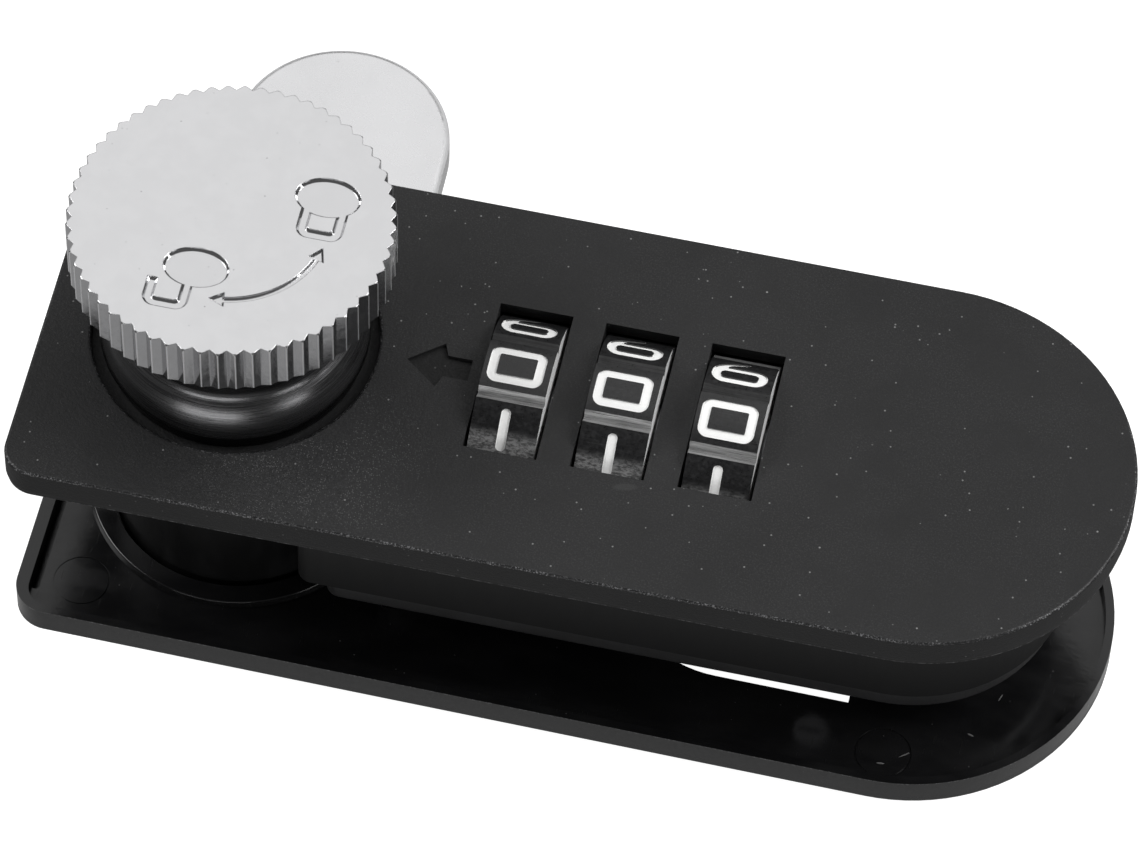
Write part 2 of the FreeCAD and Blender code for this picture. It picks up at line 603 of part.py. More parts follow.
# the spiral grows by spiral_rise over the quarter turn that meets the slide's nose
prof = []
for k in range(0, 361, 3):
    a = math.radians(k)
    # angle measured clockwise from +X, the way the turning spindle meets the nose
    if k <= 90:
        r = D["spiral_small"] + rise * a
    elif k <= 105:
        r = D["spiral_small"] + D["spiral_rise"]
    elif k <= 150:
        r = D["spiral_small"] + D["spiral_rise"] * (150 - k) / 45.0
    else:
        r = D["spiral_small"]
    prof.append((r * math.cos(-a), r * math.sin(-a)))
prof = prof[:-1]
spiral = prism(prof, low, high - low)
shaft = rod("shaft_rad", "cover_thick-ring_deep-bush_low-0.2", 0, 0, "bush_low")
top_square = box("-square_side/2", "square_side/2", "-square_side/2", "square_side/2", 1.0, "cover_thick-ring_deep+0.25+socket_deep-0.3")
low_square = box("-square_side/2", "square_side/2", "-square_side/2", "square_side/2", "cam_top-cam_thick+0.15", "bush_low")
stub = rod("stub_rad", 10.0, 0, 0, "spindle_low")
stop_disc = rod("disc_rad", "spiral_low-disc_low", 0, 0, "disc_low")
gr, gw = D["groove_rad"], D["groove_wide"] / 2
span0, span1 = math.radians(110.0), math.radians(200.0)
arc_pts = [((gr + gw) * math.cos(span0 + (span1 - span0) * k / 30), (gr + gw) * math.sin(span0 + (span1 - span0) * k / 30)) for k in range(31)]
arc_pts += [((gr - gw) * math.cos(span1 - (span1 - span0) * k / 30), (gr - gw) * math.sin(span1 - (span1 - span0) * k / 30)) for k in range(31)]
groove = fuse(prism(arc_pts, D["disc_low"] - 1, 2.6),
              rod(gw, 2.6, gr * math.cos(span0), gr * math.sin(span0), D["disc_low"] - 1),
              rod(gw, 2.6, gr * math.cos(span1), gr * math.sin(span1), D["disc_low"] - 1))
spindle = cut(fuse(shaft, spiral, stop_disc, top_square, low_square, stub), groove, thread_rings(D["stub_rad"], -26.3, -25.2, 0.55, 0.3, (0, 0, 0)))
node(spindle, "spindle")

# the dowel that the slotted disc turns against
node(rod("pin_rad", 5.4, gr * math.cos(span1), gr * math.sin(span1), -13.9), "stop_pin")

# ---------------------------------------------------------------- spindle bush
bush = cut(rod("cavity_rad", "bush_top-bush_low", 0, 0, "bush_low"),
           rod("shaft_rad+shaft_gap", 20, 0, 0, -25),
           rod("pin_rad", 2.9, gr * math.cos(span1), gr * math.sin(span1), -13.9))
node(bush, "spindle_bush")

# ---------------------------------------------------------------- cam and its fixing
cam_plate = fuse(box("-cam_half", "cam_half", 0, "cam_reach", "cam_top-cam_thick", "cam_top"),
                 rod("cam_half", "cam_thick", 0, "cam_reach", "cam_top-cam_thick"),
                 rod("cam_half", "cam_thick", 0, 0, "cam_top-cam_thick"))
cam_plate = round_edges(cam_plate, D["cam_edge"], lambda e: flat_at(e, D["cam_top"]) or flat_at(e, D["cam_top"] - D["cam_thick"]))
# the blade sits a touch off square on its stub
skew = 0.7
half = D["socket_side"] / 2 * math.sqrt(2)
hole = prism([(half * math.cos(math.radians(45 + 90 * k - skew)), half * math.sin(math.radians(45 + 90 * k - skew))) for k in range(4)], -30, 15)
cam = cut(cam_plate, hole)
cam.Placement = FreeCAD.Placement(V(0, 0, 0), FreeCAD.Rotation(V(0, 0, 1), skew))
node(cam, "cam")
node(cut(rod(7.6, 0.6, 0, 0, "cam_top"), box("-socket_side/2", "socket_side/2", "-socket_side/2", "socket_side/2", -30, -15)), "cam_washer")
node(cut(rod(6.6, 0.8, 0, 0, "cam_top-cam_thick-0.8"), rod("stub_rad+0.15", 20, 0, 0, -35),
         box(0, 10, -0.4, 0.4, -30, -15)), "lock_washer")
hexagon = prism([(5.77 * math.cos(math.radians(60 * k)), 5.77 * math.sin(math.radians(60 * k))) for k in range(6)], -25.2, 2.3)
hexagon = common(hexagon, cone(5.0, 7.3, 2.3, 0, 0, -25.2))
nut = cut(hexagon, rod("stub_rad", 20, 0, 0, -35))
node(nut, "cam_nut")

# ---------------------------------------------------------------- dials
DY, DZ = D["dial_y"], D["dial_z"]
# how far each dial stands past its figure 0, towards the figure 9
REST = (0.0, 2.2, 8.3)


def leaned(i):
    return FreeCAD.Rotation(V(1, 0, 0), REST[i])


def dial(i):
    body = doc.addObject("PartDesign::Body", "dial_body_%d" % (i + 1))
    s = body.newObject("Sketcher::SketchObject", "dial_round_%d" % (i + 1))
    s.AttachmentSupport = [(role_plane(body, "YZ_Plane"), "")]
    s.MapMode = "FlatFace"
    s.addGeometry(Part.Circle(V(0, 0, 0), V(0, 0, 1), D["dial_rad"]), False)
    s.addGeometry(Part.Circle(V(0, 0, 0), V(0, 0, 1), D["bore_rad"]), False)
    for g, f in ((0, "dial_rad"), (1, "bore_rad")):
        s.addConstraint(Sketcher.Constraint("Coincident", g, 3, -1, 1))
        k = s.addConstraint(Sketcher.Constraint("Radius", g, D[f]))
        s.renameConstraint(k, f)
        s.setExpression("Constraints." + f, "Dimensions." + f)
    pad = body.newObject("PartDesign::Pad", "dial_pad_%d" % (i + 1))
    pad.Profile = s
    pad.setExpression("Length", "Dimensions.dial_wide")
    doc.recompute()
    ns = body.newObject("Sketcher::SketchObject", "dial_notch_%d" % (i + 1))
    ns.AttachmentSupport = [(role_plane(body, "YZ_Plane"), "")]
    ns.MapMode = "FlatFace"
    # a V between two figures, 18 degrees either side of the figure on top
    a = math.radians(90.0 - 18.0)
    ux, uy = math.cos(a), math.sin(a)
    r0, r1, hw = D["dial_rad"] - D["notch_deep"], D["dial_rad"] + 0.4, D["notch_half"]
    hw = hw * (r1 - r0) / D["notch_deep"]
    p = [(r0 * ux, r0 * uy), (r1 * ux - hw * uy, r1 * uy + hw * ux), (r1 * ux + hw * uy, r1 * uy - hw * ux)]
    loop(ns, p)
    nc = body.newObject("PartDesign::Pocket", "dial_cut_%d" % (i + 1))
    nc.Profile = ns
    nc.Type = 1
    nc.Midplane = True
    doc.recompute()
    pat = body.newObject("PartDesign::PolarPattern", "dial_ring_%d" % (i + 1))
    pat.Originals = [nc]
    pat.Axis = (ns, ["N_Axis"])
    pat.Angle = 360
    pat.Occurrences = 10
    body.Tip = pat
    doc.recompute()
    # ten keyways for the sleeve's rib
    ks = body.newObject("Sketcher::SketchObject", "dial_key_%d" % (i + 1))
    ks.AttachmentSupport = [(role_plane(body, "YZ_Plane"), "")]
    ks.MapMode = "FlatFace"
    b = D["bore_rad"]
    loop(ks, [(b - 0.6, -0.52), (b + 0.55, -0.52), (b + 0.55, 0.52), (b - 0.6, 0.52)])
    kc = body.newObject("PartDesign::Pocket", "dial_slot_%d" % (i + 1))
    kc.Profile = ks
    kc.Type = 1
    kc.Midplane = True
    doc.recompute()
    kp = body.newObject("PartDesign::PolarPattern", "dial_keys_%d" % (i + 1))
    kp.Originals = [kc]
    kp.Axis = (ks, ["N_Axis"])
    kp.Angle = 360
    kp.Occurrences = 10
    body.Tip = kp
    doc.recompute()
    if kp.Shape.Volume >= pat.Shape.Volume or pat.Shape.Volume >= pad.Shape.Volume:
        raise RuntimeError("a dial pocket cut nothing")
    at(body, "dial_start+%d*dial_pitch" % i, "dial_y", "dial_z", leaned(i))
    return body


# figures 0 to 9 sunk in the lands of a dial.  Each is drawn flat (right, up), then
# laid on its land so that it reads upright from the +Y side.
FW, FH, FT = 4.18, 3.14, 0.69


def rounded_box(x0, x1, y0, y1, r, z0=0.0, z1=12.0):
    b = Part.makeBox(x1 - x0, y1 - y0, z1 - z0, V(x0, y0, z0))
    if r > 0:
        b = b.makeFillet(r, [e for e in b.Edges if upright(e)])
    return b


def ring_box(x0, x1, y0, y1, t, r):
    return rounded_box(x0, x1, y0, y1, r).cut(rounded_box(x0 + t, x1 - t, y0 + t, y1 - t, 0.12, -1.0, 13.0))


def bar(x0, x1, y0, y1, r=0.2):
    return rounded_box(x0, x1, y0, y1, r)


def slant(points):
    w = Part.makePolygon([V(x, y, 0) for x, y in points] + [V(points[0][0], points[0][1], 0)])
    return Part.Face(w).extrude(V(0, 0, 12))


def figure(n):
    w, h, t = FW / 2, FH / 2, FT
    m = t / 2 - 0.04
    if n == 0:
        return ring_box(-w, w, -h, h, t, 0.75)
    if n == 1:
        return rounded_box(-0.36, 0.36, -h, h, 0.34)
    if n == 8:
        return ring_box(-w, w, -h, m, 0.56, 0.7).fuse(ring_box(-w, w, -m, h, 0.56, 0.7))
    if n in (6, 9):
        ring_ = rounded_box(-w, w, -h, 0.5, 1.0).cut(rounded_box(-w + 0.68, w - 0.68, -h + 0.62, -0.1, 0.38, -1.0, 13.0))
        stem = slant([(-w, -0.55), (-w + 0.03, -0.1), (-w + 0.16, 0.3), (-w + 0.41, 0.66), (-w + 0.79, 0.97), (-0.8, 1.22), (-0.2, 1.40),
                      (0.34, 1.53), (0.48, 1.50), (0.52, 1.38), (0.46, 1.22), (0.1, 1.10), (-0.35, 0.98), (-0.7, 0.84),
                      (-0.95, 0.60), (-1.1, 0.25), (-1.45, -0.35)])
        f = ring_.fuse(stem)
        return f if n == 6 else turned_half(f)
    if n == 2:
        top = ring_box(-w, w, -m, h, 0.56, 0.8).cut(Part.makeBox(1.6, 1.1, 16, V(-w - 0.5, -0.35, -2)))
        low = ring_box(-w, w, -h, m, 0.56, 0.8).cut(Part.makeBox(1.6, 1.45, 16, V(w - 0.7, -0.89, -2)))
        return top.fuse(low)
    if n == 3:
        top = ring_box(-w, w, -m, h, 0.56, 0.8).cut(Part.makeBox(1.6, 1.1, 16, V(-w - 0.5, -0.35, -2)))
        low = ring_box(-w, w, -h, m, 0.56, 0.8).cut(Part.makeBox(1.6, 1.1, 16, V(-w - 0.5, -0.75, -2)))
        return top.fuse(low)
    if n == 4:
        return bar(-w, w, -0.78, -0.2).fuse([bar(0.55, 1.17, -h, h), slant([(-w, -0.62), (0.1, h), (0.85, h), (-w + 0.85, -0.3)])])
    if n == 5:
        low = ring_box(-w, w, -h, 0.45, 0.56, 0.8).cut(Part.makeBox(1.4, 0.95, 16, V(-w - 0.5, -0.75, -2)))
        return low.fuse([bar(-w, w - 0.2, h - 0.56, h), bar(-w, -w + 0.56, -0.1, h)])
    return bar(-w, w, h - 0.6, h).fuse(slant([(w, h - 0.3), (w - 0.72, h - 0.3), (-1.1, -h), (-0.4, -h)]))


def turned_half(f):
    f = f.copy()
    f.rotate(V(0, 0, 0), V(0, 0, 1), 180)
    return f


def figure_tool():
    """All ten figures of one dial about the X axis, as thick as they are deep."""
    rad = D["dial_rad"]
    shell = Part.makeCylinder(rad + 0.5, D["dial_wide"] + 1, V(-0.5, 0, 0), V(1, 0, 0)).cut(
        Part.makeCylinder(rad - D["figure_deep"], D["dial_wide"] + 1, V(-0.5, 0, 0), V(1, 0, 0)))
    out = []
    for n in range(10):
        f = figure(n)
        f = f.common(Part.makeBox(8, 8, 12, V(-4, -4, 1.0)))
        # reads upright from +Y: right is -X, up is -Y, outwards stays +Z
        f.rotate(V(0, 0, 0), V(0, 0, 1), 180)
        # the next figure comes up when the dial's -Y side rises
        f.rotate(V(0, 0, 0), V(1, 0, 0), 36.0 * n)
        f.translate(V(D["dial_wide"] / 2 - 0.08, 0, 0))
        out.append(f.common(shell))
    return Part.makeCompound(out)


FIGURES = figure_tool()
for i in range(3):
    marks = doc.addObject("Part::Feature", "figures_%d" % (i + 1))
    marks.Shape = FIGURES
    at(marks, "dial_start+%d*dial_pitch" % i, "dial_y", "dial_z", leaned(i))
    blank = dial(i)
    done = doc.addObject("Part::Cut", "figured_dial_%d" % (i + 1))
    done.Base = blank
    done.Tool = marks
    node(done, "dial_%d" % (i + 1))

# ---------------------------------------------------------------- code sleeves
for i in range(3):
    x0 = D["dial_start"] + i * D["dial_pitch"]
    fl = x0 + D["dial_wide"] + 1.0
    tube = rod("sleeve_rad", D["dial_wide"] + 1.0, x0, "dial_y", "dial_z", "x")
    flange = rod("flange_rad", 0.8, fl, "dial_y", "dial_z", "x")
    rib_key = box(x0 + 0.6, x0 + 4.4, "dial_y-sleeve_rad-0.45", "dial_y-sleeve_rad+0.6", "dial_z-0.45", "dial_z+0.45")
    bore = rod("axle_rad+0.05", 20, x0 - 5, "dial_y", "dial_z", "x")
    gate = box(fl - 0.5, fl + 1.5, "dial_y+4.45", "dial_y+7.5", "dial_z-1.65", "dial_z+1.65")
    sleeve = cut(fuse(tube, flange, rib_key), bore, gate)
    axis = V(0, DY, DZ)
    sleeve.Placement = FreeCAD.Placement(axis - leaned(i).multVec(axis), leaned(i))
    node(sleeve, "code_sleeve_%d" % (i + 1))

# ---------------------------------------------------------------- axle, its clips and its frame
node(rod("axle_rad", 29.2, 15.9, "dial_y", "dial_z", "x"), "dial_axle")
clips = []
for cx in (16.5, 43.9):
    c = cut(rod(3.0, 0.5, cx, "dial_y", "dial_z", "x"), rod("axle_rad", 5, cx - 2, "dial_y", "dial_z", "x"),
            box(cx - 1, cx + 2, "dial_y-1.4", "dial_y+1.4", "dial_z-4", "dial_z"))
    clips.append(c)
node(fuse(*clips), "axle_clips")
frame_web = box(17.1, 43.8, -9.3, -8.5, -9.4, -0.4)
cheek_l = box(17.1, 17.9, -9.3, 3.6, -6.8, -0.4)
cheek_r = box(43.0, 43.8, -9.3, 3.6, -6.8, -0.4)
carrier = cut(fuse(frame_web, cheek_l, cheek_r), rod("axle_rad", 40, 10, "dial_y", "dial_z", "x"))
node(carrier, "dial_carrier")

# ---------------------------------------------------------------- detent springs
for i in range(3):
    xc = D["dial_start"] + i * D["dial_pitch"] + D["dial_wide"] / 2
    leaf = box(xc - 1.4, xc + 1.4, -8.5, -8.2, -9.2, -0.8)
    # the last dial stands between two figures, so its spring rides on the land
    apex = -7.55 if REST[i] < 4.0 else -7.74
    nose = prism([(-8.3, DZ - 0.42), (apex, DZ), (-8.3, DZ + 0.42)], xc - 1.4, 2.8, "YZ")
    node(fuse(leaf, nose), "detent_spring_%d" % (i + 1))

# ---------------------------------------------------------------- locking slide and its spring
bar = box(12.0, 43.2, 8.9, 10.1, -7.3, -1.7)
arm = box(12.0, 14.4, -0.8, 9.2, -7.3, -5.6)
beak = fuse(box(5.9, 12.4, -0.8, 0.8, -7.3, -5.6), rod(0.8, 1.7, "spiral_small+0.9", 0, -7.3))
fins = []
for i in range(3):
    fx = D["dial_start"] + i * D["dial_pitch"] + D["dial_wide"] + 0.2
    fins.append(box(fx, fx + 0.6, "dial_y+4.7", 9.2, "dial_z-0.6", "dial_z+0.6"))
slide = cut(fuse(bar, arm, beak, *fins), box(25.5, 38.5, 8, 11, -8, -5.6))
node(slide, "locking_slide")


def coil(r, wire, turns, length, x, y, z, direction):
    h = Part.makeHelix(length / turns, length, r)
    w = Part.Wire(h.Edges)
    c = Part.Wire([Part.makeCircle(wire, V(r, 0, 0), V(0, 1, 0))])
    s = Part.Wire(w).makePipeShell([c], True, True)
    o = doc.addObject("Part::Feature", fresh("coil"))
    o.Shape = s
    o.Placement = FreeCAD.Placement(V(x, y, z), AXES[direction])
    return o


node(coil(1.1, 0.22, 7.0, 7.4, 43.55, 9.5, -4.5, "x"), "slide_spring")

# ---------------------------------------------------------------- code-change lever and its spring
lever_plate = box(44.9, 49.4, -4.6, 4.6, -11.6, -10.9)
lever_stem = box(45.6, 48.4, -1.6, 1.6, -13.3, -11.6)
lever = cut(fuse(lever_plate, lever_stem),
            box(46.0, 48.0, -0.9, -0.6, -13.6, -13.0), box(46.0, 48.0, -0.15, 0.15, -13.6, -13.0), box(46.0, 48.0, 0.6, 0.9, -13.6, -13.0))
node(lever, "reset_lever")
node(coil(0.45, 0.12, 7.0, 5.2, 47.2, 4.75, -11.0, "y"), "reset_spring")

# ---------------------------------------------------------------- lid screws
lid_screws = []
for lx, ly, up in LID_SCREWS:
    head = rod("head_rad", "head_deep-0.05", lx, ly, "-body_deep-lid_deep+0.05")
    shank = rod(0.55, "lid_deep-head_deep+%g" % up, lx, ly, "-body_deep-lid_deep+head_deep")
    groove_x = box(lx - 1.0, lx + 1.0, ly - 0.2, ly + 0.2, "-body_deep-lid_deep-1", "-body_deep-lid_deep+0.25")
    lid_screws.append(cut(fuse(head, shank), groove_x))
node(fuse(*lid_screws), "lid_screws")
doc.recompute()

# the lid gets a seat for each screw head, and the lid and the housing get the pilot holes
for name in ("body_lid", "front_housing"):
    base = dict(NODES)[name]
    tools = [rod(0.55, D["lid_deep"] + up, lx, ly, "-body_deep-lid_deep")
             for lx, ly, up in LID_SCREWS]
    if name == "body_lid":
        tools += [rod("head_rad+0.1", "head_deep+1", lx, ly, "-body_deep-lid_deep-1") for lx, ly, up in LID_SCREWS]
    base.Label = name + "_blank"
    new = cut(base, *tools)
    new.Label = name
    NODES = [(a, b) if a != name else (name, new) for a, b in NODES]
doc.recompute()

# ---------------------------------------------------------------- checks and export
bad = [o.Name for o in doc.Objects if set(o.State) & {"Invalid", "Error"}]
if bad:
    raise RuntimeError("failed objects: " + ", ".join(bad))
for name, obj in NODES:
    shape = obj.Shape
    if shape.isNull() or not shape.isValid() or not shape.Solids:
        raise RuntimeError("bad shape: " + name)
    print("%-18s solids %d volume %9.2f  x %7.2f %7.2f  y %7.2f %7.2f  z %7.2f %7.2f" % (
        name, len(shape.Solids), shape.Volume, shape.BoundBox.XMin, shape.BoundBox.XMax, shape.BoundBox.YMin,
        shape.BoundBox.YMax, shape.BoundBox.ZMin, shape.BoundBox.ZMax))
for name, obj in NODES:
    obj.Shape.exportStep("parts/%s.step" % name)
print(len(NODES), "nodes written")
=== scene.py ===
import bpy, math
from mathutils import Vector, Matrix


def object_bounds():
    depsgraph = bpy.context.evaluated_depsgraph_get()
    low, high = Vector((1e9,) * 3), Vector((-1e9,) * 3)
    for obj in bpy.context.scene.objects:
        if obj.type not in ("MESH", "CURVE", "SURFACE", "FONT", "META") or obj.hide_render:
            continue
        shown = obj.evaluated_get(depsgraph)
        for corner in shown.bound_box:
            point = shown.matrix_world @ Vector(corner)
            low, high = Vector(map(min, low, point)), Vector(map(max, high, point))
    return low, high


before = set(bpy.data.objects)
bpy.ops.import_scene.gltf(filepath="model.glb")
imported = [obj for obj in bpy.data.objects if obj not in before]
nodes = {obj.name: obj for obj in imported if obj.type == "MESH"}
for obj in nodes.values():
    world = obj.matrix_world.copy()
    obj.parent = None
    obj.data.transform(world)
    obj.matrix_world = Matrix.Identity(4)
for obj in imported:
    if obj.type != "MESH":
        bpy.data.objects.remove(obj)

cad_box = [list(map(float, c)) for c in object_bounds()]
scene = bpy.context.scene
scene.view_settings.view_transform = "Standard"
scene.view_settings.look = "None"
scene.view_settings.exposure = 0.0
scene.view_settings.gamma = 1.0

MM = 0.001


# ------------------------------------------------------------------ node helpers
class Tree:
    """Small helper that builds one material's node tree."""

    def __init__(self, name):
        self.mat = bpy.data.materials.new(name)
        self.mat.use_nodes = True
        self.nt = self.mat.node_tree
        self.nt.nodes.clear()
        self.out = self.nt.nodes.new("ShaderNodeOutputMaterial")
        self.bsdf = self.nt.nodes.new("ShaderNodeBsdfPrincipled")
        self.nt.links.new(self.bsdf.outputs["BSDF"], self.out.inputs["Surface"])
        tc = self.nt.nodes.new("ShaderNodeTexCoord")
        self.pos = tc.outputs["Object"]
        self.nrm = tc.outputs["Normal"]
        s = self.nt.nodes.new("ShaderNodeVectorMath")
        s.operation = "SCALE"
        s.inputs["Scale"].default_value = 1000.0
        self.nt.links.new(self.pos, s.inputs[0])
        self.mm = s.outputs[0]
        self._xyz = self._n = None

    def put(self, socket, value):
        if hasattr(value, "is_linked") or hasattr(value, "links"):
            self.nt.links.new(value, socket)
        else:
            socket.default_value = value

    def set(self, **kw):
        names = {"color": "Base Color", "rough": "Roughness", "metal": "Metallic", "coat": "Coat Weight",
                 "coat_rough": "Coat Roughness", "ior": "IOR", "spec": "Specular Level", "normal": "Normal",
                 "aniso": "Anisotropic"}
        for k, v in kw.items():
            key = names[k]
            if key == "Specular Level":
                key = "Specular IOR Level"
            self.put(self.bsdf.inputs[key], v)
        return self

    def math(self, op, a, b=0.0, c=0.0, clamp=False):
        n = self.nt.nodes.new("ShaderNodeMath")
        n.operation = op
        n.use_clamp = clamp
        self.put(n.inputs[0], a)
        self.put(n.inputs[1], b)
        self.put(n.inputs[2], c)
        return n.outputs[0]

    def ramp(self, value, lo, hi, to_lo=0.0, to_hi=1.0, smooth=True):
        n = self.nt.nodes.new("ShaderNodeMapRange")
        n.interpolation_type = "SMOOTHSTEP" if smooth else "LINEAR"
        n.clamp = True
        self.put(n.inputs["Value"], value)
        n.inputs["From Min"].default_value = lo
        n.inputs["From Max"].default_value = hi
        n.inputs["To Min"].default_value = to_lo
        n.inputs["To Max"].default_value = to_hi
        return n.outputs["Result"]

    def between(self, value, a, b, soft):
        up = self.ramp(value, a - soft, a + soft)
        down = self.ramp(value, b - soft, b + soft, 1.0, 0.0)
        return self.math("MULTIPLY", up, down)

    def mix(self, fac, a, b):
        n = self.nt.nodes.new("ShaderNodeMix")
        n.data_type = "RGBA"
        self.put(n.inputs[0], fac)
        for sock, v in ((n.inputs[6], a), (n.inputs[7], b)):
            if isinstance(v, (int, float)):
                v = (v, v, v, 1.0)
            elif isinstance(v, tuple) and len(v) == 3:
                v = (*v, 1.0)
            self.put(sock, v)
        return n.outputs[2]

    def lerp(self, fac, a, b):
        n = self.nt.nodes.new("ShaderNodeMix")
        n.data_type = "FLOAT"
        self.put(n.inputs[0], fac)
        self.put(n.inputs[2], a)
        self.put(n.inputs[3], b)
        return n.outputs[0]

    def stretch(self, sx, sy, sz, src=None):
        n = self.nt.nodes.new("ShaderNodeVectorMath")
        n.operation = "MULTIPLY"
        self.put(n.inputs[0], src or self.mm)
        n.inputs[1].default_value = (sx, sy, sz)
        return n.outputs[0]

    def shift(self, x, y, z, src=None):
        n = self.nt.nodes.new("ShaderNodeVectorMath")
        n.operation = "SUBTRACT"
        self.put(n.inputs[0], src or self.mm)
        n.inputs[1].default_value = (x, y, z)
        return n.outputs[0]

    def length(self, vec):
        n = self.nt.nodes.new("ShaderNodeVectorMath")
        n.operation = "LENGTH"
        self.put(n.inputs[0], vec)
        return n.outputs["Value"]

    def dot(self, a, b):
        n = self.nt.nodes.new("ShaderNodeVectorMath")
        n.operation = "DOT_PRODUCT"
        self.put(n.inputs[0], a)
        self.put(n.inputs[1], b)
        return n.outputs["Value"]

    def unit(self, a):
        n = self.nt.nodes.new("ShaderNodeVectorMath")
        n.operation = "NORMALIZE"
        self.put(n.inputs[0], a)
        return n.outputs[0]

    def split(self, vec):
        n = self.nt.nodes.new("ShaderNodeSeparateXYZ")
        self.put(n.inputs[0], vec)
        return n.outputs

    @property
    def xyz(self):
        if self._xyz is None:
            self._xyz = self.split(self.mm)
        return self._xyz

    @property
    def n(self):
        if self._n is None:
            self._n = self.split(self.nrm)
        return self._n

    def noise(self, scale, detail=2.0, rough=0.5, src=None, lac=2.0):
        n = self.nt.nodes.new("ShaderNodeTexNoise")
        n.inputs["Scale"].default_value = scale
        n.inputs["Detail"].default_value = detail
        n.inputs["Roughness"].default_value = rough
        n.inputs["Lacunarity"].default_value = lac
        self.put(n.inputs["Vector"], src or self.mm)
        return n.outputs["Fac"]

    def cells(self, scale, feature="F1", randomness=1.0, src=None):
        n = self.nt.nodes.new("ShaderNodeTexVoronoi")
        n.feature = feature
        n.inputs["Scale"].default_value = scale
        n.inputs["Randomness"].default_value = randomness
        self.put(n.inputs["Vector"], src or self.mm)
        return n.outputs["Distance"], n.outputs["Color"]

    def bump(self, height, depth_mm, strength=1.0, under=None):
        n = self.nt.nodes.new("ShaderNodeBump")
        n.inputs["Strength"].default_value = strength
        n.inputs["Distance"].default_value = depth_mm * MM
        self.put(n.inputs["Height"], height)
        if under is not None:
            self.put(n.inputs["Normal"], under)
        return n.outputs["Normal"]

    def soft_edge(self, radius_mm, samples=4):
        """A normal that rounds sharp edges over the given radius."""
        n = self.nt.nodes.new("ShaderNodeBevel")
        n.samples = samples
        n.inputs["Radius"].default_value = radius_mm * MM
        return n.outputs["Normal"]

    def mark(self, x, y, turn, long, wide):
        """One small elongated mark on a flat face at x, y."""
        m = self.nt.nodes.new("ShaderNodeMapping")
        m.vector_type = "TEXTURE"
        self.put(m.inputs["Vector"], self.mm)
        m.inputs["Location"].default_value = (x, y, 0.0)
        m.inputs["Rotation"].default_value = (0.0, 0.0, math.radians(turn))
        m.inputs["Scale"].default_value = (long, wide, 1.0e6)
        return self.ramp(self.length(m.outputs[0]), 0.6, 1.0, 1.0, 0.0)

    def specks(self, scale, size, share, src=None):
        """Small separate dots: about share of the cells hold one of the given size (0..1 of a cell)."""
        d, c = self.cells(scale, src=src)
        pick = self.split(c)[0]
        rare = self.ramp(pick, 1.0 - share, 1.0 - share + 0.004)
        dot = self.ramp(d, size * 0.6, size, 1.0, 0.0)
        return self.math("MULTIPLY", rare, dot), c


def wear(obj_names, mat):
    for n in obj_names:
        o = nodes[n]
        o.data.materials.clear()
        o.data.materials.append(mat)


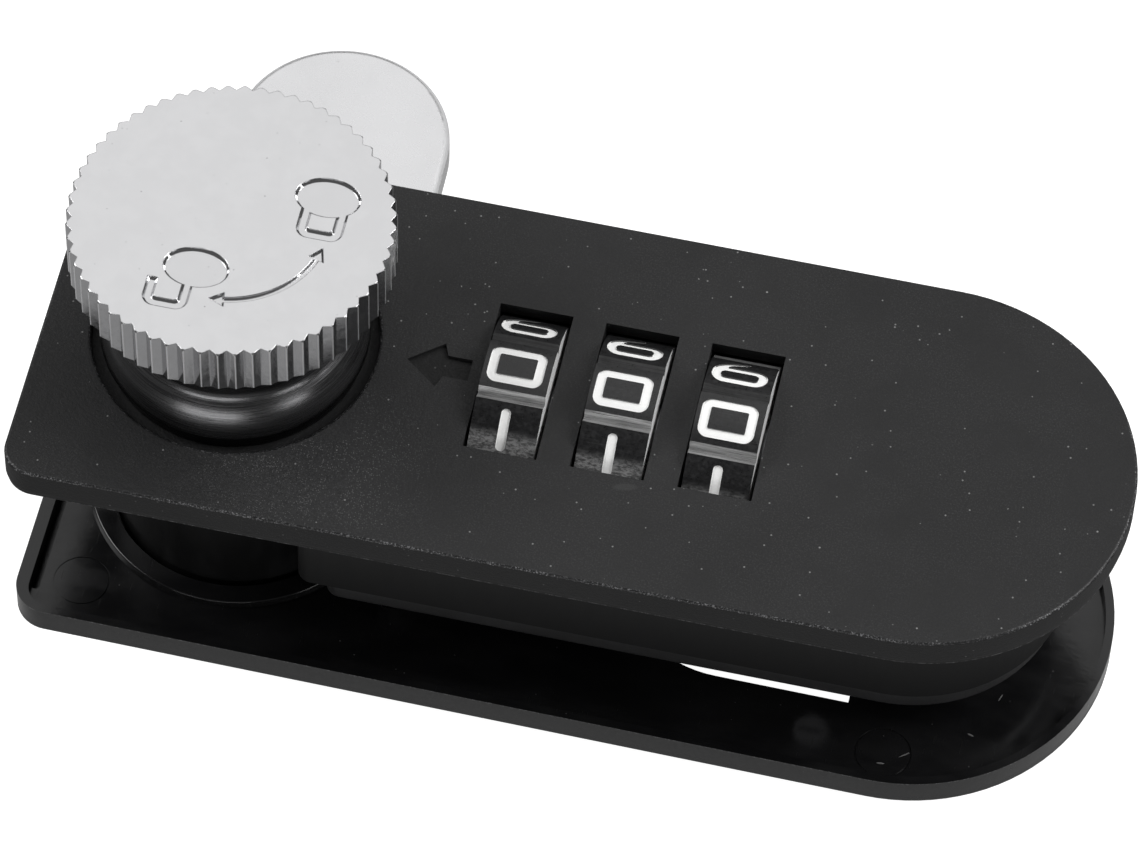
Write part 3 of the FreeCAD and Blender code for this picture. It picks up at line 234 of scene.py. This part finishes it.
# ------------------------------------------------------------------ materials
def cover_black():
    t = Tree("cover_black")
    x, y, z = t.xyz
    nz = t.n[2]
    top = t.math("MULTIPLY", t.ramp(nz, 0.93, 0.99), t.ramp(z, 2.3, 2.6))
    coat = t.ramp(z, 0.2, 0.5)                      # the painted cover, not the body under it
    edge = t.math("MULTIPLY", t.between(nz, 0.25, 0.95, 0.08), t.ramp(z, 2.45, 2.6))
    lip = t.math("MULTIPLY", t.ramp(z, 0.06, 0.14, 1.0, 0.0), t.ramp(z, -0.06, -0.02))
    lip = t.math("MULTIPLY", lip, t.ramp(t.math("ABSOLUTE", nz), 0.5, 0.8, 1.0, 0.0))
    grain = t.noise(5.5, 3.0, 0.62)
    pebble = t.noise(2.3, 2.0, 0.5)
    broad = t.noise(0.09, 3.0, 0.55)
    # painted glints: bright specks mixed into the colour, thinly everywhere, thicker beside and before the knob
    near = t.length(t.stretch(1.0, 1.15, 0.0, t.shift(8.0, -9.8, 0.0)))
    dust_and_glints = t.ramp(near, 3.0, 12.0, 1.0, 0.0)
    few, fc = t.specks(3.0, 0.26, 0.030)
    many, mc = t.specks(7.5, 0.40, 0.42)
    wide, wc = t.specks(1.6, 0.15, 0.03)
    fade = t.ramp(t.noise(0.35, 2.0), 0.30, 0.55)
    many = t.math("MULTIPLY", many, t.math("MULTIPLY", dust_and_glints, fade))
    painted_glints = t.math("MAXIMUM", t.math("MULTIPLY", few, 0.70), t.math("MULTIPLY", many, 0.34))
    painted_glints = t.math("MAXIMUM", painted_glints, t.math("MULTIPLY", wide, 0.85))
    painted_glints = t.math("MULTIPLY", painted_glints, t.math("MAXIMUM", top, t.math("MULTIPLY", coat, 0.35)))
    # painted highlight: a broken bright line along the top edge fillet, patchy along its length
    glint = t.ramp(t.noise(7.5, 3.0, 0.75), 0.50, 0.66)
    patchy = t.ramp(t.noise(0.22, 2.0, 0.5), 0.34, 0.56, 0.25, 1.0)
    painted_edge_glint = t.math("MULTIPLY", t.math("MULTIPLY", edge, glint), patchy)
    # a thin, broken bright line painted along the body's side just under the cover
    bright_seam_line = t.math("MULTIPLY", lip, t.ramp(t.noise(2.6, 4.0, 0.75, t.stretch(1.0, 1.0, 0.2)), 0.42, 0.66))
    # a gate witness and a thumb smudge
    gate = t.math("MULTIPLY", t.mark(54.92, 15.07, 8.0, 0.55, 0.22), top)
    smudge = t.math("MULTIPLY", t.mark(30.81, -7.0, 12.0, 1.1, 0.35), t.math("MULTIPLY", top, 0.35))
    base = t.mix(t.ramp(broad, 0.35, 0.65), (0.0066, 0.0066, 0.0070), (0.0095, 0.0095, 0.0100))
    base = t.mix(t.ramp(grain, 0.52, 0.78), base, (0.014, 0.014, 0.015))
    # painted sheen: the top is painted lighter around the knob, fading outwards
    painted_sheen = t.math("MULTIPLY", t.math("MULTIPLY", t.math("POWER", dust_and_glints, 2.0), top), t.ramp(grain, 0.30, 0.72, 0.35, 1.0))
    base = t.mix(t.math("MULTIPLY", painted_sheen, 0.50), base, (0.042, 0.042, 0.043))
    # painted glints: the bright specks are mixed into the colour
    base = t.mix(painted_glints, base, (0.26, 0.26, 0.26))
    # the painted edge highlight is mixed into the colour
    base = t.mix(t.math("MULTIPLY", painted_edge_glint, 0.62), base, (0.36, 0.36, 0.37))
    sunk = t.math("MULTIPLY", t.ramp(z, 2.70, 2.76, 1.0, 0.0), t.math("MULTIPLY", t.ramp(z, 2.40, 2.45), t.ramp(nz, 0.93, 0.99)))
    base = t.mix(t.math("MULTIPLY", sunk, 0.6), base, (0.0045, 0.0045, 0.0045))
    base = t.mix(gate, base, (0.002, 0.002, 0.002))
    base = t.mix(smudge, base, (0.05, 0.05, 0.05))
    # the body behind the cover is a plain casting with faint flow marks
    flow = t.noise(0.5, 3.0, 0.6, t.stretch(1.0, 1.0, 0.25))
    plain = t.mix(t.ramp(flow, 0.35, 0.7), (0.0034, 0.0034, 0.0036), (0.0062, 0.0062, 0.0065))
    # the broken bright seam line is painted over the plain body
    plain = t.mix(t.math("MULTIPLY", bright_seam_line, 0.42), plain, (0.22, 0.22, 0.225))
    t.set(color=t.mix(coat, plain, base))
    r_cover = t.ramp(grain, 0.3, 0.7, 0.54, 0.70)
    r_cover = t.lerp(edge, r_cover, 0.40)
    wall = t.ramp(t.math("ABSOLUTE", nz), 0.3, 0.5, 1.0, 0.0)
    r_cover = t.lerp(wall, r_cover, 0.66)
    r_side = t.ramp(flow, 0.3, 0.7, 0.52, 0.62)
    t.set(rough=t.lerp(coat, r_side, r_cover))
    h = t.math("ADD", t.math("MULTIPLY", grain, 0.6), t.math("MULTIPLY", pebble, 0.4))
    h = t.math("MULTIPLY", h, t.lerp(coat, 0.12, 1.0))
    t.set(normal=t.bump(h, 0.10, 0.62))
    gloss = t.lerp(coat, t.ramp(z, -10.0, -1.0, 0.20, 0.36), 0.42)
    t.set(spec=t.lerp(sunk, gloss, 0.31))
    return t.mat


def chrome():
    t = Tree("knob_chrome")
    x, y, z = t.xyz
    nz = t.n[2]
    rad = t.length(t.stretch(1.0, 1.0, 0.0))
    top = t.math("MULTIPLY", t.ramp(nz, 0.9, 0.99), t.ramp(z, 16.5, 16.8))
    waist = t.math("MULTIPLY", t.ramp(rad, 10.2, 10.6, 1.0, 0.0), t.ramp(z, 12.0, 12.4, 1.0, 0.0))
    haze = t.noise(0.55, 4.0, 0.6)
    lines = t.noise(1.0, 3.0, 0.7, t.stretch(0.15, 0.15, 22.0))
    scratch = t.noise(1.0, 2.0, 0.6, t.stretch(9.0, 0.8, 1.0))
    spots, _ = t.specks(1.6, 0.13, 0.06)
    spots2, _ = t.specks(2.8, 0.16, 0.03)
    specks = t.math("MULTIPLY", t.math("MAXIMUM", spots, spots2), t.math("MAXIMUM", top, 0.4))
    tone = t.mix(t.ramp(haze, 0.35, 0.68), (0.665, 0.665, 0.675), (0.685, 0.685, 0.695))
    tone = t.mix(t.math("MULTIPLY", specks, 0.40), tone, (0.20, 0.20, 0.20))
    pits, _ = t.specks(2.2, 0.30, 0.10)
    worn = t.math("MULTIPLY", pits, t.math("SUBTRACT", 1.0, top))
    tone = t.mix(t.math("MULTIPLY", worn, 0.30), tone, (0.30, 0.30, 0.30))
    # cut floors of the pictograms sit a little duller
    cut = t.math("MULTIPLY", t.ramp(z, 16.88, 16.92, 1.0, 0.0), t.ramp(z, 16.78, 16.82))
    cut = t.math("MULTIPLY", cut, t.math("MULTIPLY", t.ramp(nz, 0.9, 0.99), t.ramp(rad, 10.9, 11.1, 1.0, 0.0)))
    tone = t.mix(t.math("MULTIPLY", cut, 0.5), tone, (0.64, 0.64, 0.65))
    inner = t.math("MULTIPLY", t.ramp(z, 16.99, 17.03, 1.0, 0.0), t.ramp(z, 16.78, 16.84))
    inner = t.math("MULTIPLY", inner, t.math("MULTIPLY", t.ramp(rad, 10.9, 11.1, 1.0, 0.0), t.ramp(t.math("ABSOLUTE", nz), 0.3, 0.6, 1.0, 0.0)))
    # pictogram walls facing the front are painted near-white: a painted highlight
    tone = t.mix(t.math("MULTIPLY", inner, t.ramp(t.n[1], -0.95, -0.70, 1.0, 0.0)), tone, (0.97, 0.97, 0.97))
    flank = t.math("MULTIPLY", t.ramp(rad, 11.0, 11.2), t.ramp(t.math("ABSOLUTE", nz), 0.3, 0.5, 1.0, 0.0))
    crest = t.math("MULTIPLY", flank, t.ramp(rad, 11.90, 11.96))
    tone = t.mix(t.math("MULTIPLY", flank, 0.52), tone, (0.32, 0.32, 0.33))
    # the tooth crests are painted near-white: a painted highlight line along each ridge
    tone = t.mix(crest, tone, (0.95, 0.95, 0.96))
    # the neck is painted dark, with brushed lines: a painted reflection of the black cover its chrome would mirror
    tone = t.mix(waist, tone, t.mix(t.ramp(lines, 0.35, 0.65), (0.105, 0.105, 0.108), (0.155, 0.155, 0.158)))
    # the foot below the shoulder is painted nearly black: a painted reflection of the dark recess around it
    foot = t.ramp(z, 3.32, 3.44, 1.0, 0.0)
    tone = t.mix(foot, tone, (0.05, 0.05, 0.052))
    t.set(color=tone, metal=1.0)
    r = t.ramp(haze, 0.3, 0.7, 0.06, 0.09)
    r = t.lerp(waist, r, t.ramp(lines, 0.35, 0.65, 0.20, 0.32))
    r = t.lerp(cut, r, 0.14)
    r = t.lerp(flank, r, t.ramp(t.noise(2.0, 3.0, 0.6), 0.3, 0.7, 0.12, 0.24))
    r = t.lerp(crest, r, 0.45)
    t.set(rough=r)
    h = t.math("ADD", t.math("MULTIPLY", lines, t.math("MULTIPLY", waist, 0.22)), t.math("MULTIPLY", haze, 0.03))
    h = t.math("ADD", h, t.math("MULTIPLY", scratch, 0.012))
    h = t.math("ADD", h, t.math("MULTIPLY", t.noise(1.5, 3.0, 0.6), t.math("MULTIPLY", flank, 0.25)))
    t.set(normal=t.bump(h, 0.05, 0.5, t.soft_edge(0.085)))
    return t.mat


def dial_black(index):
    """Glossy black ring, bare cut sides, paint-filled figures, worn ridges, and a painted highlight on one notch and
    on one land's lower end.
    """
    t = Tree("dial_finish_%d" % index)
    cx = 18.72 + 8.0 * (index - 1)
    local = t.shift(cx + 2.5, 0.35, -3.35)
    lx, ly, lz = t.split(local)
    flat = t.stretch(0.0, 1.0, 1.0, local)
    rad = t.length(flat)
    out = t.unit(flat)
    facing = t.dot(out, t.nrm)
    side = t.ramp(t.math("ABSOLUTE", t.n[0]), 0.8, 0.95)
    figure = t.math("MULTIPLY", t.ramp(rad, 7.955, 7.975, 1.0, 0.0), t.ramp(rad, 7.70, 7.74))
    figure = t.math("MULTIPLY", figure, t.ramp(facing, 0.975, 0.99))
    notch = t.math("MULTIPLY", t.ramp(facing, 0.80, 0.95, 1.0, 0.0), t.math("SUBTRACT", 1.0, side))
    notch = t.math("MULTIPLY", notch, t.ramp(rad, 8.02, 8.05, 1.0, 0.0))
    # painted highlight: only the notch near this tilt gets the full bright steel, the others a tenth of it
    lean = math.radians((0.0, 2.2, 8.3)[index - 1] + 18.0)
    painted_lit_notch = t.dot(out, (0.0, -math.sin(lean), math.cos(lean)))
    notch = t.math("MULTIPLY", notch, t.ramp(painted_lit_notch, math.cos(math.radians(14)), math.cos(math.radians(10)), 0.10, 1.0))
    streak = t.noise(1.0, 4.0, 0.7, t.stretch(0.35, 14.0, 14.0))
    turn = t.noise(1.0, 3.0, 0.7, t.stretch(0.3, 6.0, 6.0))
    mottle = t.noise(3.1, 4.0, 0.7)
    fine = t.noise(9.0, 3.0, 0.6)
    base = t.mix(t.ramp(mottle, 0.42, 0.75), (0.008, 0.008, 0.0085), (0.020, 0.020, 0.021))
    rub_and_edge_glint = t.math("MULTIPLY", t.ramp(streak, 0.56, 0.72), 0.5)
    base = t.mix(t.math("MULTIPLY", rub_and_edge_glint, 0.35), base, (0.12, 0.12, 0.12))
    steel = t.mix(t.ramp(streak, 0.34, 0.62), (0.26, 0.26, 0.26), (0.62, 0.62, 0.62))
    base = t.mix(notch, base, steel)
    bare = t.mix(t.ramp(turn, 0.3, 0.7), (0.72, 0.72, 0.72), (0.88, 0.88, 0.88))
    base = t.mix(side, base, bare)
    # painted highlight: the lower end of the land at this angle is painted light grey, mottled by scuffs
    low = math.radians((0.0, 2.2, 8.3)[index - 1] + 52.0)
    under = t.dot(out, (0.0, -math.sin(low), math.cos(low)))
    under = t.math("MULTIPLY", t.ramp(under, math.cos(math.radians(17)), math.cos(math.radians(3))), t.ramp(facing, 0.975, 0.99))
    scuffed_highlight = t.ramp(t.noise(3.4, 5.0, 0.75, t.stretch(0.7, 1.6, 1.6)), 0.40, 0.60)
    under = t.math("MULTIPLY", under, t.math("SUBTRACT", 1.0, side))
    base = t.mix(t.math("MULTIPLY", under, t.math("MULTIPLY", t.math("ADD", scuffed_highlight, 0.30), 0.75)), base, (0.34, 0.34, 0.34))
    white = t.mix(t.ramp(fine, 0.35, 0.7), (0.94, 0.94, 0.93), (0.98, 0.98, 0.97))
    base = t.mix(figure, base, white)
    t.set(color=base)
    metal = t.math("MAXIMUM", t.math("MULTIPLY", side, 0.15), t.math("MULTIPLY", notch, 0.70))
    t.set(metal=t.math("MULTIPLY", metal, t.math("SUBTRACT", 1.0, figure)))
    rough = t.ramp(mottle, 0.3, 0.7, 0.26, 0.40)
    rough = t.lerp(side, rough, t.ramp(turn, 0.3, 0.7, 0.42, 0.58))
    rough = t.lerp(notch, rough, t.ramp(streak, 0.3, 0.7, 0.25, 0.45))
    rough = t.lerp(figure, rough, 0.5)
    t.set(rough=rough)
    h = t.math("ADD", t.math("MULTIPLY", fine, 0.5), t.math("MULTIPLY", streak, t.math("MULTIPLY", notch, 1.2)))
    t.set(normal=t.bump(h, 0.012, 0.6))
    return t.mat


def gloss_tray():
    t = Tree("plate_gloss_black")
    x, y, z = t.xyz
    smear = t.noise(0.16, 4.0, 0.6, t.stretch(1.0, 2.2, 1.0))
    fine = t.noise(2.2, 4.0, 0.65)
    back = t.ramp(z, -18.2, -17.6, 1.0, 0.0)
    dust_and_glints, _ = t.specks(1.5, 0.12, 0.05)
    scr = t.noise(1.0, 2.0, 0.6, t.stretch(6.0, 0.5, 1.0))
    base = t.mix(t.ramp(smear, 0.35, 0.7), (0.0060, 0.0060, 0.0065), (0.0100, 0.0100, 0.0105))
    floor_ = t.math("MULTIPLY", t.ramp(t.n[2], 0.9, 0.98), t.ramp(z, -16.6, -16.5, 1.0, 0.0))
    nicks = t.math("MAXIMUM", t.mark(53.8, -12.9, 38.0, 0.55, 0.06), t.mark(52.2, -14.0, 5.0, 0.35, 0.08))
    nicks = t.math("MAXIMUM", nicks, t.math("MAXIMUM", t.mark(58.3, -10.1, -15.0, 0.30, 0.08), t.mark(59.9, -6.4, 70.0, 0.40, 0.06)))
    nicks = t.math("MULTIPLY", nicks, floor_)
    base = t.mix(t.math("MULTIPLY", dust_and_glints, 0.5), base, (0.10, 0.10, 0.10))
    base = t.mix(nicks, base, (0.16, 0.16, 0.16))
    # painted sheen: the front-facing outer wall is painted lighter and mottled, brightest towards the bottom
    upright = t.ramp(t.math("ABSOLUTE", t.n[2]), 0.3, 0.6, 1.0, 0.0)
    outer = t.math("MULTIPLY", upright, t.ramp(t.n[1], -0.6, -0.3, 1.0, 0.0))
    coarse = t.noise(4.2, 3.0, 0.7)
    painted_wall_sheen = t.mix(t.ramp(coarse, 0.34, 0.70), (0.0030, 0.0030, 0.0032), (0.0230, 0.0230, 0.0236))
    painted_wall_sheen = t.mix(t.ramp(z, -18.3, -16.4, 0.55, 0.0), painted_wall_sheen, (0.026, 0.026, 0.0266))
    base = t.mix(t.math("MULTIPLY", outer, 0.8), base, painted_wall_sheen)
    # painted highlight: a broken bright line along the top edge of the rim
    rub_and_edge_glint = t.math("MULTIPLY", t.ramp(z, -16.16, -16.04), t.ramp(t.n[2], 0.9, 0.98, 1.0, 0.0))
    rub_and_edge_glint = t.math("MULTIPLY", rub_and_edge_glint, t.ramp(t.noise(3.4, 4.0, 0.75), 0.44, 0.66))
    base = t.mix(t.math("MULTIPLY", rub_and_edge_glint, 0.45), base, (0.26, 0.26, 0.265))
    t.set(color=base)
    rough = t.ramp(smear, 0.3, 0.7, 0.13, 0.24)
    rough = t.lerp(t.math("MULTIPLY", back, 0.8), rough, 0.42)
    rough = t.lerp(t.math("MULTIPLY", t.ramp(scr, 0.64, 0.72), 0.4), rough, 0.4)
    t.set(rough=rough)
    h = t.math("ADD", t.math("MULTIPLY", smear, 1.6), t.math("MULTIPLY", fine, 0.05))
    n1 = t.bump(h, 0.05, 0.35)
    sand = t.math("MULTIPLY", t.noise(4.5, 2.0, 0.5), back)
    t.set(normal=t.bump(sand, 0.03, 0.5, n1))
    return t.mat


def moulded_black():
    t = Tree("moulded_black")
    fine = t.noise(4.0, 3.0, 0.6)
    flow = t.noise(0.25, 3.0, 0.5)
    base = t.mix(t.ramp(flow, 0.3, 0.7), (0.010, 0.010, 0.0105), (0.017, 0.017, 0.018))
    t.set(color=base, rough=t.ramp(fine, 0.3, 0.7, 0.40, 0.52))
    t.set(normal=t.bump(fine, 0.02, 0.5))
    return t.mat


def bright_cam():
    t = Tree("cam_bright")
    x, y, z = t.xyz
    nz = t.n[2]
    tumble = t.noise(0.7, 5.0, 0.65)
    cloud = t.noise(0.13, 3.0, 0.5)
    dents, _ = t.specks(0.9, 0.22, 0.10)
    edge = t.between(t.math("ABSOLUTE", nz), 0.15, 0.93, 0.08)
    base = t.mix(t.ramp(tumble, 0.36, 0.66), (0.745, 0.745, 0.755), (0.775, 0.775, 0.785))
    base = t.mix(t.math("MULTIPLY", t.ramp(cloud, 0.4, 0.7), 0.35), base, (0.66, 0.66, 0.67))
    base = t.mix(t.math("MULTIPLY", dents, 0.35), base, (0.45, 0.45, 0.45))
    t.set(color=base, metal=t.math("SUBTRACT", 1.0, t.math("MULTIPLY", edge, 0.8)))
    rough = t.ramp(tumble, 0.3, 0.7, 0.22, 0.32)
    rough = t.lerp(t.math("MULTIPLY", edge, 0.7), rough, 0.40)
    t.set(rough=rough)
    scr = t.noise(1.0, 3.0, 0.6, t.stretch(4.0, 0.4, 1.0))
    h = t.math("ADD", t.math("MULTIPLY", tumble, 0.6), t.math("MULTIPLY", scr, 0.12))
    h = t.math("SUBTRACT", h, t.math("MULTIPLY", dents, 0.25))
    t.set(normal=t.bump(h, 0.03, 0.09, t.soft_edge(0.14)))
    return t.mat


def plated(name, a, b, r0, r1, grain=(1.0, 1.0, 8.0)):
    t = Tree(name)
    lines = t.noise(1.0, 4.0, 0.65, t.stretch(*grain))
    cloud = t.noise(0.6, 3.0, 0.5)
    base = t.mix(t.ramp(lines, 0.35, 0.68), a, b)
    t.set(color=base, metal=1.0)
    rough = t.ramp(cloud, 0.3, 0.7, r0, r1)
    t.set(rough=rough)
    t.set(normal=t.bump(lines, 0.01, 0.45))
    return t.mat


def nylon():
    t = Tree("nylon_white")
    fine = t.noise(3.0, 3.0, 0.6)
    t.set(color=t.mix(t.ramp(fine, 0.3, 0.7), (0.60, 0.60, 0.58), (0.70, 0.70, 0.68)), rough=t.ramp(fine, 0.3, 0.7, 0.42, 0.55))
    t.set(normal=t.bump(fine, 0.02, 0.4))
    return t.mat


wear(["front_housing"], cover_black())
wear(["knob"], chrome())
for i in (1, 2, 3):
    wear(["dial_%d" % i], dial_black(i))
wear(["back_plate"], gloss_tray())
wear(["body_lid", "knob_washer", "reset_lever"], moulded_black())
wear(["cam"], bright_cam())
zinc = plated("zinc_plate", (0.52, 0.52, 0.54), (0.68, 0.68, 0.70), 0.22, 0.36)
wear(["plate_screws", "lid_screws", "lock_washer", "cam_nut"], zinc)
wear(["cam_washer"], nylon())
wear(["code_sleeve_1", "code_sleeve_2", "code_sleeve_3"], plated("sleeve_steel", (0.20, 0.20, 0.21), (0.34, 0.34, 0.35), 0.30, 0.42, (8.0, 1.0, 1.0)))
wear(["spindle", "stop_pin", "dial_axle", "dial_carrier", "locking_slide"], plated("turned_steel", (0.36, 0.36, 0.37), (0.55, 0.55, 0.56), 0.25, 0.38))
wear(["axle_clips", "slide_spring", "reset_spring", "detent_spring_1", "detent_spring_2", "detent_spring_3"],
     plated("spring_steel", (0.32, 0.33, 0.34), (0.50, 0.51, 0.52), 0.20, 0.32, (5.0, 1.0, 5.0)))
wear(["spindle_bush"], plated("turned_brass", (0.50, 0.34, 0.12), (0.72, 0.52, 0.22), 0.22, 0.36))

# ------------------------------------------------------------------ floor
low = cad_box[0][2]
floor_z = low - 0.0004
bpy.ops.mesh.primitive_plane_add(size=6.0, location=(0, 0, floor_z))
floor = bpy.context.object
floor.name = "floor"
ft = Tree("floor_pale")
soft = ft.noise(0.02, 2.0, 0.5)
ft.set(color=ft.mix(soft, (0.30, 0.30, 0.30), (0.34, 0.34, 0.34)), rough=0.9)
ft.bsdf.inputs["Emission Color"].default_value = (1, 1, 1, 1)
ft.bsdf.inputs["Emission Strength"].default_value = 0.98
ft.bsdf.inputs["Specular IOR Level"].default_value = 0.0
floor.data.materials.append(ft.mat)
floor.visible_glossy = False
floor.visible_diffuse = False

# ------------------------------------------------------------------ light
world = bpy.data.worlds.new("studio")
scene.world = world
world.use_nodes = True
wn = world.node_tree
wn.nodes.clear()
wo = wn.nodes.new("ShaderNodeOutputWorld")
bg = wn.nodes.new("ShaderNodeBackground")
wn.links.new(bg.outputs[0], wo.inputs[0])
sky = wn.nodes.new("ShaderNodeTexCoord")
sep = wn.nodes.new("ShaderNodeSeparateXYZ")
wn.links.new(sky.outputs["Generated"], sep.inputs[0])
below = wn.nodes.new("ShaderNodeMapRange")
below.interpolation_type = "SMOOTHSTEP"
wn.links.new(sep.outputs[2], below.inputs["Value"])
for name, v in (("From Min", -0.60), ("From Max", 0.02), ("To Min", 0.42), ("To Max", 0.10)):
    below.inputs[name].default_value = v
wn.links.new(below.outputs["Result"], bg.inputs["Strength"])
bg.inputs["Color"].default_value = (1, 1, 1, 1)


def softbox(name, azimuth, elevation, distance, width, height, radiance):
    """An area light that faces the object; azimuth 0 is the +Y side, 90 the +X side."""
    a, e = math.radians(azimuth), math.radians(elevation)
    d = Vector((math.sin(a) * math.cos(e), math.cos(a) * math.cos(e), math.sin(e)))
    data = bpy.data.lights.new(name, "AREA")
    data.shape = "RECTANGLE"
    data.size, data.size_y = width, height
    data.energy = radiance * math.pi * width * height
    o = bpy.data.objects.new(name, data)
    scene.collection.objects.link(o)
    target = Vector((0.027, 0.0, 0.0))
    o.location = target + d * distance
    o.rotation_euler = (-d).to_track_quat("-Z", "Y").to_euler()
    return o


softbox("back_box", -8, 60, 1.0, 1.5, 1.0, 0.90)
softbox("front_strip", 186, 6, 1.0, 0.8, 0.26, 3.2)
softbox("right_box", 80, 42, 1.0, 0.6, 0.55, 6.6)
softbox("left_box", -92, 40, 1.0, 0.5, 0.45, 6.4)
softbox("low_right", 125, 12, 1.0, 0.30, 0.16, 4.5)

# ------------------------------------------------------------------ camera
cam_data = bpy.data.cameras.new("camera")
cam = bpy.data.objects.new("camera", cam_data)
scene.collection.objects.link(cam)
right = Vector((0.97714774, 0.21170236, 0.0190894))
down = Vector((0.18649741, -0.81077891, -0.55484797))
ahead = Vector((-0.10198534, 0.54572857, -0.83173272))
m = Matrix(((right.x, -down.x, -ahead.x, 0.07581),
            (right.y, -down.y, -ahead.y, -0.27036),
            (right.z, -down.z, -ahead.z, 0.41055),
            (0, 0, 0, 1)))
loc, rot, _ = m.decompose()
cam.location = loc
cam.rotation_mode = "QUATERNION"
cam.rotation_quaternion = rot
cam_data.sensor_fit = "HORIZONTAL"
cam_data.sensor_width = 36.0
cam_data.lens = 211.81
cam_data.clip_start = 0.01
cam_data.clip_end = 20.0
cam_data.dof.use_dof = False
scene.camera = cam
